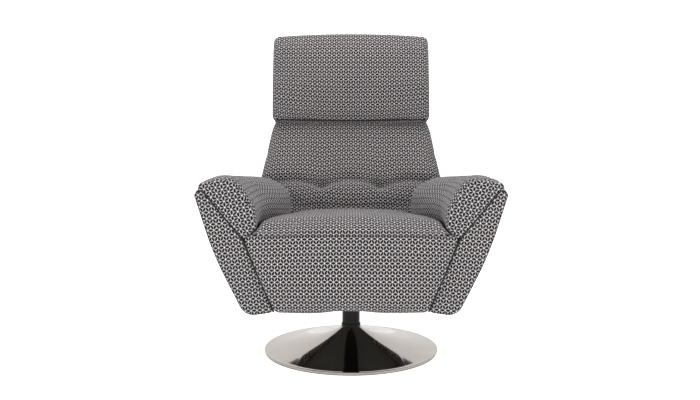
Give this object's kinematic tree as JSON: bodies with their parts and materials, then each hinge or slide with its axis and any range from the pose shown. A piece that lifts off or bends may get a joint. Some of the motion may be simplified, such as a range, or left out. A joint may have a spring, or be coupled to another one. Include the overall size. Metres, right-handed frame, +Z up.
{
  "type": "swivel recliner",
  "caption": "Upholstered swivel recliner in black and white woven fabric, with flared arms, a tilting headrest and a footrest flap, on a polished trumpet base.",
  "frame": {"origin": "on the floor, at the centre of the round base, on the swivel axis", "axes": "+X to the sitter's left, -Y to the front, where the footrest is, +Z up"},
  "size_m": [0.855, 0.7353, 1.017],
  "materials": {
    "woven_fabric": "matte",
    "polished_steel": "polished",
    "black_gloss": "gloss",
    "mechanism_steel": "satin",
    "cast_weight": "matte",
    "floor_pad": "matte",
    "bush_plastic": "matte",
    "plywood": "matte",
    "webbing": "matte",
    "foam": "matte",
    "dust_cover": "matte"
  },
  "bodies": {
    "base": {"base_floor_pad": "floor_pad", "base_weight": "cast_weight", "base_cover": "polished_steel", "base_bolts": "mechanism_steel", "column_tube": "black_gloss", "column_collar": "black_gloss", "lower_swivel_bush": "bush_plastic", "upper_swivel_bush": "bush_plastic", "thrust_washer": "mechanism_steel"},
    "seat_unit": {"swivel_spindle": "mechanism_steel", "swivel_plate": "mechanism_steel", "swivel_plate_bolts": "mechanism_steel", "left_seat_rail": "mechanism_steel", "right_seat_rail": "mechanism_steel", "front_cross_tube": "mechanism_steel", "rear_cross_tube": "mechanism_steel", "left_arm_brackets": "mechanism_steel", "right_arm_brackets": "mechanism_steel", "arm_screws": "mechanism_steel", "front_board": "plywood", "seat_webbing": "webbing", "seat_core": "foam", "seat_cushion": "woven_fabric", "underside_cover": "dust_cover", "rear_panel": "woven_fabric", "left_arm_panel": "woven_fabric", "right_arm_panel": "woven_fabric", "left_arm_pad": "woven_fabric", "right_arm_pad": "woven_fabric", "left_pivot_bracket": "mechanism_steel", "right_pivot_bracket": "mechanism_steel", "left_footrest_bracket": "mechanism_steel", "right_footrest_bracket": "mechanism_steel", "recline_pins": "mechanism_steel", "footrest_pins": "mechanism_steel"},
    "backrest": {"back_board": "plywood", "backrest_cushion": "woven_fabric", "back_cover": "woven_fabric", "left_back_arm": "mechanism_steel", "right_back_arm": "mechanism_steel", "back_link_pins": "mechanism_steel", "headrest_brackets": "mechanism_steel", "headrest_pins": "mechanism_steel"},
    "headrest": {"headrest_cushion": "woven_fabric", "headrest_board": "plywood", "headrest_arms": "mechanism_steel"},
    "footrest": {"footrest_pad": "woven_fabric", "footrest_board": "plywood", "left_footrest_arm": "mechanism_steel", "right_footrest_arm": "mechanism_steel", "footrest_link_pins": "mechanism_steel"},
    "left_push_bar": {"left_push_bar": "mechanism_steel"},
    "right_push_bar": {"right_push_bar": "mechanism_steel"}
  },
  "joints": [
    {"name": "swivel", "type": "hinge", "parent": "base", "child": "seat_unit", "pos_m": [0, 0, 0], "axis": [0, 0, 1], "continuous": true},
    {"name": "recline", "type": "hinge", "parent": "seat_unit", "child": "backrest", "pos_m": [0, 0.15, 0.36], "axis": [-1, 0, 0], "range_deg": [0, 32]},
    {"name": "headrest_tilt", "type": "hinge", "parent": "backrest", "child": "headrest", "pos_m": [0, 0.29435, 0.67503], "axis": [-1, 0, 0], "range_deg": [-5, 28]},
    {"name": "footrest_swing", "type": "hinge", "parent": "seat_unit", "child": "footrest", "pos_m": [0, -0.34, 0.405], "axis": [-1, 0, 0], "range_deg": [0, 80]},
    {"name": "left_bar_pivot", "type": "hinge", "parent": "backrest", "child": "left_push_bar", "pos_m": [0, 0.1725, 0.28154], "axis": [-1, 0, 0], "range_deg": [-32, 0]},
    {"name": "right_bar_pivot", "type": "hinge", "parent": "backrest", "child": "right_push_bar", "pos_m": [0, 0.1725, 0.28154], "axis": [-1, 0, 0], "range_deg": [-32, 0]}
  ],
  "couplings": [
    {"joint": "footrest_swing", "follows": "recline", "ratio": 2.5},
    {"joint": "left_bar_pivot", "follows": "recline", "ratio": -1},
    {"joint": "right_bar_pivot", "follows": "recline", "ratio": -1}
  ]
}
